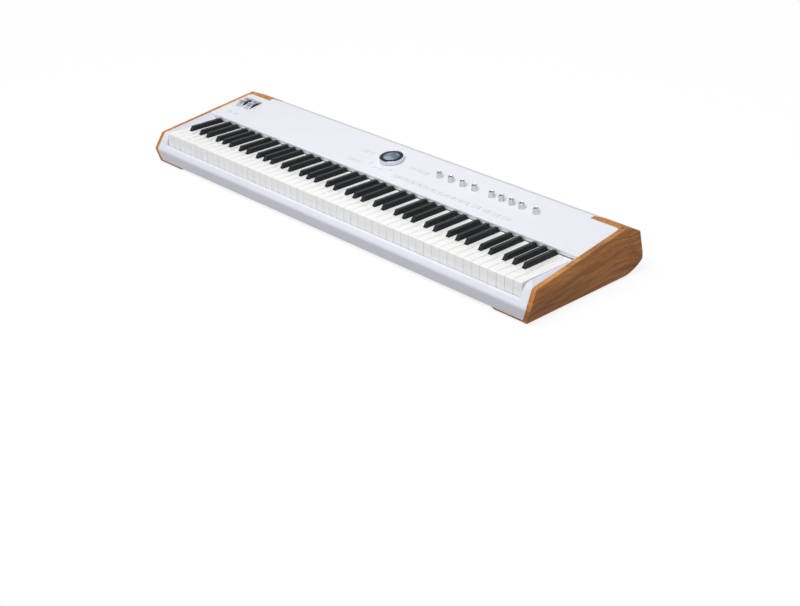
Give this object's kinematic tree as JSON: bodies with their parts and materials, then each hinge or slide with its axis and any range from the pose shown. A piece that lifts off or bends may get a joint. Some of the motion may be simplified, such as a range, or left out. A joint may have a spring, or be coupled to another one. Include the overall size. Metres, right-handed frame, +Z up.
{
  "type": "stage piano",
  "caption": "Free-standing stage piano with a full weighted keyboard, sloping white control deck, round display dial, knobs, wheels and wooden side panels.",
  "frame": {"origin": "on the floor under the centre of the body's bounding box", "axes": "+X towards the treble end, +Y from the player to the rear, +Z up"},
  "size_m": [1.3, 0.3659, 0.127],
  "materials": {
    "white_sheet": "satin cool white paint",
    "white_moulding": "satin cool white plastic",
    "walnut": "satin oiled walnut, grain along the panel",
    "white_key": "smooth gloss white",
    "black_key": "satin black",
    "soft_button": "matt off-white",
    "silver_metal": "turned and polished",
    "silver_plastic": "silver lacquer",
    "dark_plastic": "fine texture",
    "display_glass": "gloss black",
    "display_screen": "grey-blue display",
    "circuit_board": "solder mask",
    "felt": "pressed wool felt",
    "foot_rubber": "matt black"
  },
  "bodies": {
    "piano": {"bottom_case": "dark_plastic", "top_panel": "white_sheet", "front_rail": "white_moulding", "left_side_panel": "walnut", "right_side_panel": "walnut", "rear_panel": "white_sheet", "key_frame": "white_key", "key_felt": "felt", "contact_board": "circuit_board", "control_board": "circuit_board", "main_board": "circuit_board", "display_lens": "display_glass", "display_module": "display_screen", "wheel_housing": "dark_plastic", "foot_front_left": "foot_rubber", "foot_front_right": "foot_rubber", "foot_rear_left": "foot_rubber", "foot_rear_right": "foot_rubber", "button_mat": "soft_button", "octave_mat": "soft_button"},
    "key_c4": {"key_c4": "white_key"},
    "key_c_sharp4": {"key_c_sharp4": "black_key"},
    "key_d4": {"key_d4": "white_key"},
    "key_d_sharp4": {"key_d_sharp4": "black_key"},
    "key_e4": {"key_e4": "white_key"},
    "key_f4": {"key_f4": "white_key"},
    "key_f_sharp4": {"key_f_sharp4": "black_key"},
    "key_g4": {"key_g4": "white_key"},
    "key_g_sharp4": {"key_g_sharp4": "black_key"},
    "key_a4": {"key_a4": "white_key"},
    "key_a_sharp4": {"key_a_sharp4": "black_key"},
    "key_b4": {"key_b4": "white_key"},
    "row_button_1": {"row_button_1": "soft_button"},
    "row_button_2": {"row_button_2": "soft_button"},
    "row_button_3": {"row_button_3": "soft_button"},
    "row_button_4": {"row_button_4": "soft_button"},
    "row_button_5": {"row_button_5": "soft_button"},
    "row_button_6": {"row_button_6": "soft_button"},
    "row_button_7": {"row_button_7": "soft_button"},
    "row_button_8": {"row_button_8": "soft_button"},
    "row_button_9": {"row_button_9": "soft_button"},
    "row_button_10": {"row_button_10": "soft_button"},
    "row_button_11": {"row_button_11": "soft_button"},
    "row_button_12": {"row_button_12": "soft_button"},
    "row_button_13": {"row_button_13": "soft_button"},
    "row_button_14": {"row_button_14": "soft_button"},
    "row_button_15": {"row_button_15": "soft_button"},
    "knob_1": {"knob_1": "silver_metal"},
    "knob_2": {"knob_2": "silver_metal"},
    "knob_3": {"knob_3": "silver_metal"},
    "knob_4": {"knob_4": "silver_metal"},
    "knob_5": {"knob_5": "silver_metal"},
    "knob_6": {"knob_6": "silver_metal"},
    "knob_7": {"knob_7": "silver_metal"},
    "knob_8": {"knob_8": "silver_metal"},
    "knob_9": {"knob_9": "silver_metal"},
    "pitch_wheel": {"pitch_wheel": "silver_plastic"},
    "mod_wheel": {"mod_wheel": "silver_plastic"},
    "dial_ring": {"dial_ring": "silver_metal"},
    "power_switch": {"power_switch": "dark_plastic"}
  },
  "joints": [
    {"name": "key_c4_press", "type": "hinge", "parent": "piano", "child": "key_c4", "pos_m": [0, 0.03086, 0.0628], "axis": [1, 0, 0], "range_deg": [0, 2.9], "stiffness_Nm_per_rad": 2, "springref_deg": -14.32},
    {"name": "key_c_sharp4_press", "type": "hinge", "parent": "piano", "child": "key_c_sharp4", "pos_m": [0, 0.03086, 0.0628], "axis": [1, 0, 0], "range_deg": [0, 3.4], "stiffness_Nm_per_rad": 2, "springref_deg": -14.32},
    {"name": "key_d4_press", "type": "hinge", "parent": "piano", "child": "key_d4", "pos_m": [0, 0.03086, 0.0628], "axis": [1, 0, 0], "range_deg": [0, 2.9], "stiffness_Nm_per_rad": 2, "springref_deg": -14.32},
    {"name": "key_d_sharp4_press", "type": "hinge", "parent": "piano", "child": "key_d_sharp4", "pos_m": [0, 0.03086, 0.0628], "axis": [1, 0, 0], "range_deg": [0, 3.4], "stiffness_Nm_per_rad": 2, "springref_deg": -14.32},
    {"name": "key_e4_press", "type": "hinge", "parent": "piano", "child": "key_e4", "pos_m": [0, 0.03086, 0.0628], "axis": [1, 0, 0], "range_deg": [0, 2.9], "stiffness_Nm_per_rad": 2, "springref_deg": -14.32},
    {"name": "key_f4_press", "type": "hinge", "parent": "piano", "child": "key_f4", "pos_m": [0, 0.03086, 0.0628], "axis": [1, 0, 0], "range_deg": [0, 2.9], "stiffness_Nm_per_rad": 2, "springref_deg": -14.32},
    {"name": "key_f_sharp4_press", "type": "hinge", "parent": "piano", "child": "key_f_sharp4", "pos_m": [0, 0.03086, 0.0628], "axis": [1, 0, 0], "range_deg": [0, 3.4], "stiffness_Nm_per_rad": 2, "springref_deg": -14.32},
    {"name": "key_g4_press", "type": "hinge", "parent": "piano", "child": "key_g4", "pos_m": [0, 0.03086, 0.0628], "axis": [1, 0, 0], "range_deg": [0, 2.9], "stiffness_Nm_per_rad": 2, "springref_deg": -14.32},
    {"name": "key_g_sharp4_press", "type": "hinge", "parent": "piano", "child": "key_g_sharp4", "pos_m": [0, 0.03086, 0.0628], "axis": [1, 0, 0], "range_deg": [0, 3.4], "stiffness_Nm_per_rad": 2, "springref_deg": -14.32},
    {"name": "key_a4_press", "type": "hinge", "parent": "piano", "child": "key_a4", "pos_m": [0, 0.03086, 0.0628], "axis": [1, 0, 0], "range_deg": [0, 2.9], "stiffness_Nm_per_rad": 2, "springref_deg": -14.32},
    {"name": "key_a_sharp4_press", "type": "hinge", "parent": "piano", "child": "key_a_sharp4", "pos_m": [0, 0.03086, 0.0628], "axis": [1, 0, 0], "range_deg": [0, 3.4], "stiffness_Nm_per_rad": 2, "springref_deg": -14.32},
    {"name": "key_b4_press", "type": "hinge", "parent": "piano", "child": "key_b4", "pos_m": [0, 0.03086, 0.0628], "axis": [1, 0, 0], "range_deg": [0, 2.9], "stiffness_Nm_per_rad": 2, "springref_deg": -14.32},
    {"name": "row_button_1_press", "type": "slide", "parent": "piano", "child": "row_button_1", "axis": [0, 0.1418, -0.9899], "range_m": [0, 0.0008], "stiffness_N_per_m": 500, "springref_m": -0.001},
    {"name": "row_button_2_press", "type": "slide", "parent": "piano", "child": "row_button_2", "axis": [0, 0.1418, -0.9899], "range_m": [0, 0.0008], "stiffness_N_per_m": 500, "springref_m": -0.001},
    {"name": "row_button_3_press", "type": "slide", "parent": "piano", "child": "row_button_3", "axis": [0, 0.1418, -0.9899], "range_m": [0, 0.0008], "stiffness_N_per_m": 500, "springref_m": -0.001},
    {"name": "row_button_4_press", "type": "slide", "parent": "piano", "child": "row_button_4", "axis": [0, 0.1418, -0.9899], "range_m": [0, 0.0008], "stiffness_N_per_m": 500, "springref_m": -0.001},
    {"name": "row_button_5_press", "type": "slide", "parent": "piano", "child": "row_button_5", "axis": [0, 0.1418, -0.9899], "range_m": [0, 0.0008], "stiffness_N_per_m": 500, "springref_m": -0.001},
    {"name": "row_button_6_press", "type": "slide", "parent": "piano", "child": "row_button_6", "axis": [0, 0.1418, -0.9899], "range_m": [0, 0.0008], "stiffness_N_per_m": 500, "springref_m": -0.001},
    {"name": "row_button_7_press", "type": "slide", "parent": "piano", "child": "row_button_7", "axis": [0, 0.1418, -0.9899], "range_m": [0, 0.0008], "stiffness_N_per_m": 500, "springref_m": -0.001},
    {"name": "row_button_8_press", "type": "slide", "parent": "piano", "child": "row_button_8", "axis": [0, 0.1418, -0.9899], "range_m": [0, 0.0008], "stiffness_N_per_m": 500, "springref_m": -0.001},
    {"name": "row_button_9_press", "type": "slide", "parent": "piano", "child": "row_button_9", "axis": [0, 0.1418, -0.9899], "range_m": [0, 0.0008], "stiffness_N_per_m": 500, "springref_m": -0.001},
    {"name": "row_button_10_press", "type": "slide", "parent": "piano", "child": "row_button_10", "axis": [0, 0.1418, -0.9899], "range_m": [0, 0.0008], "stiffness_N_per_m": 500, "springref_m": -0.001},
    {"name": "row_button_11_press", "type": "slide", "parent": "piano", "child": "row_button_11", "axis": [0, 0.1418, -0.9899], "range_m": [0, 0.0008], "stiffness_N_per_m": 500, "springref_m": -0.001},
    {"name": "row_button_12_press", "type": "slide", "parent": "piano", "child": "row_button_12", "axis": [0, 0.1418, -0.9899], "range_m": [0, 0.0008], "stiffness_N_per_m": 500, "springref_m": -0.001},
    {"name": "row_button_13_press", "type": "slide", "parent": "piano", "child": "row_button_13", "axis": [0, 0.1418, -0.9899], "range_m": [0, 0.0008], "stiffness_N_per_m": 500, "springref_m": -0.001},
    {"name": "row_button_14_press", "type": "slide", "parent": "piano", "child": "row_button_14", "axis": [0, 0.1418, -0.9899], "range_m": [0, 0.0008], "stiffness_N_per_m": 500, "springref_m": -0.001},
    {"name": "row_button_15_press", "type": "slide", "parent": "piano", "child": "row_button_15", "axis": [0, 0.1418, -0.9899], "range_m": [0, 0.0008], "stiffness_N_per_m": 500, "springref_m": -0.001},
    {"name": "knob_1_turn", "type": "hinge", "parent": "piano", "child": "knob_1", "pos_m": [0.142, 0.07158, 0.11228], "axis": [0, -0.1418, 0.9899], "range_deg": [-150, 150]},
    {"name": "knob_2_turn", "type": "hinge", "parent": "piano", "child": "knob_2", "pos_m": [0.1792, 0.07158, 0.11228], "axis": [0, -0.1418, 0.9899], "range_deg": [-150, 150]},
    {"name": "knob_3_turn", "type": "hinge", "parent": "piano", "child": "knob_3", "pos_m": [0.2164, 0.07158, 0.11228], "axis": [0, -0.1418, 0.9899], "range_deg": [-150, 150]},
    {"name": "knob_4_turn", "type": "hinge", "parent": "piano", "child": "knob_4", "pos_m": [0.2536, 0.07158, 0.11228], "axis": [0, -0.1418, 0.9899], "range_deg": [-150, 150]},
    {"name": "knob_5_turn", "type": "hinge", "parent": "piano", "child": "knob_5", "pos_m": [0.307, 0.07158, 0.11228], "axis": [0, -0.1418, 0.9899], "range_deg": [-150, 150]},
    {"name": "knob_6_turn", "type": "hinge", "parent": "piano", "child": "knob_6", "pos_m": [0.337, 0.07158, 0.11228], "axis": [0, -0.1418, 0.9899], "range_deg": [-150, 150]},
    {"name": "knob_7_turn", "type": "hinge", "parent": "piano", "child": "knob_7", "pos_m": [0.367, 0.07158, 0.11228], "axis": [0, -0.1418, 0.9899], "range_deg": [-150, 150]},
    {"name": "knob_8_turn", "type": "hinge", "parent": "piano", "child": "knob_8", "pos_m": [0.397, 0.07158, 0.11228], "axis": [0, -0.1418, 0.9899], "range_deg": [-150, 150]},
    {"name": "knob_9_turn", "type": "hinge", "parent": "piano", "child": "knob_9", "pos_m": [0.4385, 0.07158, 0.11228], "axis": [0, -0.1418, 0.9899], "range_deg": [-150, 150]},
    {"name": "pitch_wheel_turn", "type": "hinge", "parent": "piano", "child": "pitch_wheel", "pos_m": [-0.59567, 0.08036, 0.09233], "axis": [1, 0, 0], "range_deg": [-30, 30], "stiffness_Nm_per_rad": 0.2},
    {"name": "mod_wheel_turn", "type": "hinge", "parent": "piano", "child": "mod_wheel", "pos_m": [-0.56266, 0.08036, 0.09233], "axis": [1, 0, 0], "range_deg": [-35, 35]},
    {"name": "dial_turn", "type": "hinge", "parent": "piano", "child": "dial_ring", "pos_m": [-0.014, 0.06584, 0.11146], "axis": [0, -0.1418, 0.9899], "continuous": true},
    {"name": "power_switch_press", "type": "slide", "parent": "piano", "child": "power_switch", "axis": [0, -1, 0], "range_m": [0, 0.002], "stiffness_N_per_m": 400, "springref_m": -0.002}
  ]
}
